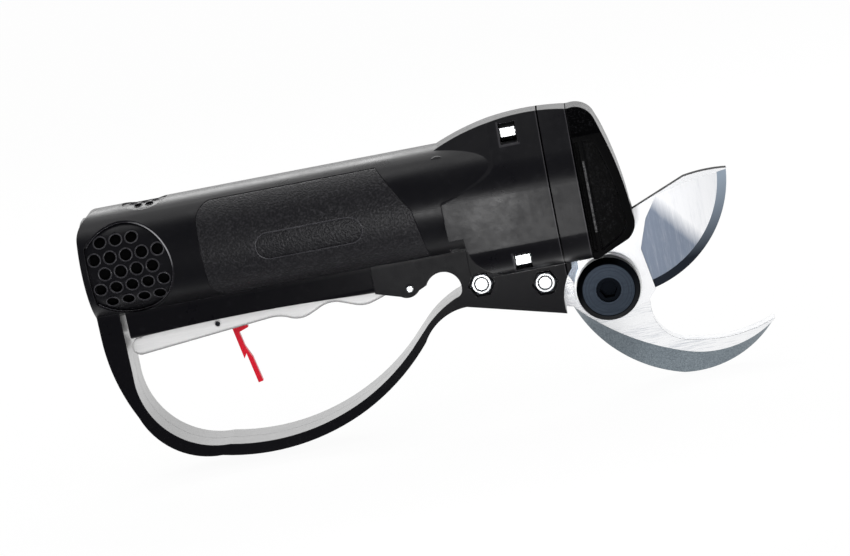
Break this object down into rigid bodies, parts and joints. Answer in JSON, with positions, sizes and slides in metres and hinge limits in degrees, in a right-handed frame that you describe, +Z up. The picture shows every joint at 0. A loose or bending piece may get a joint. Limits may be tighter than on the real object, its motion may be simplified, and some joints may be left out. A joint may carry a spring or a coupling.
{
  "type": "battery electric pruner",
  "caption": "Hand-held electric pruning shear with a round barrel grip, knuckle guard, finger lever, lock-off catch and a curved blade closing past a fixed hook.",
  "frame": {"origin": "centre of the mouth of the power inlet in the rear cap, on the axis of the barrel", "axes": "+X forward along the barrel axis to the cutting head, +Z up from the finger lever to the crown of the head, +Y to the tool's left; the blade and the pivot bolt's head are on the right, -Y"},
  "size_m": [0.2676, 0.0456, 0.1195],
  "materials": {
    "shell_plastic": "fine satin grain, semi-gloss",
    "grip_rubber": "stippled matt",
    "nose_plastic": "high gloss",
    "vent_plastic": "satin",
    "lever_alloy": "bright satin",
    "catch_red": "semi-gloss",
    "blade_steel": "polished, fine ground facets",
    "hook_steel": "ground face, blasted flank",
    "pivot_dark": "dark blue-grey oxide",
    "screw_steel": "zinc plated",
    "pin_steel": "dark ground steel",
    "bronze": "machined",
    "motor_steel": "plain",
    "winding_copper": "enamelled wire",
    "board_green": "solder mask",
    "inlet_plastic": "satin"
  },
  "bodies": {
    "body": {"right_housing_shell": "shell_plastic", "left_housing_shell": "shell_plastic", "rear_cap": "shell_plastic", "right_vent_grille": "vent_plastic", "left_vent_grille": "vent_plastic", "top_vent_grille": "vent_plastic", "right_grip_panel": "grip_rubber", "left_grip_panel": "grip_rubber", "collar_ring": "shell_plastic", "nose_cover": "nose_plastic", "lever_pin": "pin_steel", "lever_spring": "screw_steel", "hook_blade": "hook_steel", "pivot_bolt": "pivot_dark", "pivot_washer": "pin_steel", "pivot_bush": "bronze", "pivot_nut": "screw_steel", "far_washer": "screw_steel", "web_bolts": "screw_steel", "web_nuts": "screw_steel", "collar_screws": "screw_steel", "captive_nuts": "bronze", "case_screws": "screw_steel", "motor_can": "motor_steel", "motor_stator": "winding_copper", "motor_bearings": "screw_steel", "gearbox_case": "motor_steel", "thrust_bearing": "screw_steel", "front_bearing": "screw_steel", "circuit_board": "board_green", "hall_board": "board_green", "power_inlet": "inlet_plastic"},
    "rotor": {"motor_rotor": "motor_steel"},
    "screw": {"planet_carrier": "pin_steel", "drive_screw": "screw_steel"},
    "planet_1": {"planet_gear_1": "pin_steel"},
    "planet_2": {"planet_gear_2": "pin_steel"},
    "planet_3": {"planet_gear_3": "pin_steel"},
    "fork": {"drive_fork": "pin_steel", "drive_nut": "bronze"},
    "blade": {"blade": "blade_steel", "crank_pin": "pin_steel", "fork_rollers": "screw_steel"},
    "lever": {"lever": "lever_alloy", "lever_magnet": "pin_steel", "catch_pin": "pin_steel", "catch_spring": "screw_steel"},
    "catch": {"safety_catch": "catch_red"}
  },
  "joints": [
    {"name": "rotor_spin", "type": "hinge", "parent": "body", "child": "rotor", "pos_m": [0.068, 0, 0], "axis": [-1, 0, 0], "range_deg": [0, 7482.25]},
    {"name": "screw_spin", "type": "hinge", "parent": "body", "child": "screw", "pos_m": [0.156, 0, 0], "axis": [-1, 0, 0], "range_deg": [0, 1803.33]},
    {"name": "planet_1_spin", "type": "hinge", "parent": "screw", "child": "planet_1", "pos_m": [0.1013, 0, 0.0083], "axis": [-1, 0, 0], "range_deg": [-5409.36, 0]},
    {"name": "planet_2_spin", "type": "hinge", "parent": "screw", "child": "planet_2", "pos_m": [0.1013, -0.00719, -0.00415], "axis": [-1, 0, 0], "range_deg": [-5409.36, 0]},
    {"name": "planet_3_spin", "type": "hinge", "parent": "screw", "child": "planet_3", "pos_m": [0.1013, 0.00719, -0.00415], "axis": [-1, 0, 0], "range_deg": [-5409.36, 0]},
    {"name": "fork_slide", "type": "slide", "parent": "body", "child": "fork", "axis": [1, 0, 0], "range_m": [0, 0.02005]},
    {"name": "blade_swing", "type": "hinge", "parent": "body", "child": "blade", "pos_m": [0.204, 0, -0.0465], "axis": [0, 1, 0], "range_deg": [0, 57.05]},
    {"name": "lever_hinge", "type": "hinge", "parent": "body", "child": "lever", "pos_m": [0.126, 0, -0.0315], "axis": [0, 1, 0], "range_deg": [0, 3.5], "stiffness_Nm_per_rad": 0.6, "springref_deg": -6.88},
    {"name": "catch_hinge", "type": "hinge", "parent": "lever", "child": "catch", "pos_m": [0.0469, 0, -0.0316], "axis": [0, 1, 0], "range_deg": [0, 35], "stiffness_Nm_per_rad": 0.01, "springref_deg": -22.92}
  ],
  "couplings": [
    {"joint": "screw_spin", "follows": "rotor_spin", "ratio": 0.24096},
    {"joint": "planet_1_spin", "follows": "rotor_spin", "ratio": -0.72289},
    {"joint": "planet_2_spin", "follows": "rotor_spin", "ratio": -0.72289},
    {"joint": "planet_3_spin", "follows": "rotor_spin", "ratio": -0.72289},
    {"joint": "fork_slide", "follows": "rotor_spin", "m_per_rad": 0.0001534},
    {"joint": "blade_swing", "follows": "rotor_spin", "ratio": 0.0076185}
  ]
}
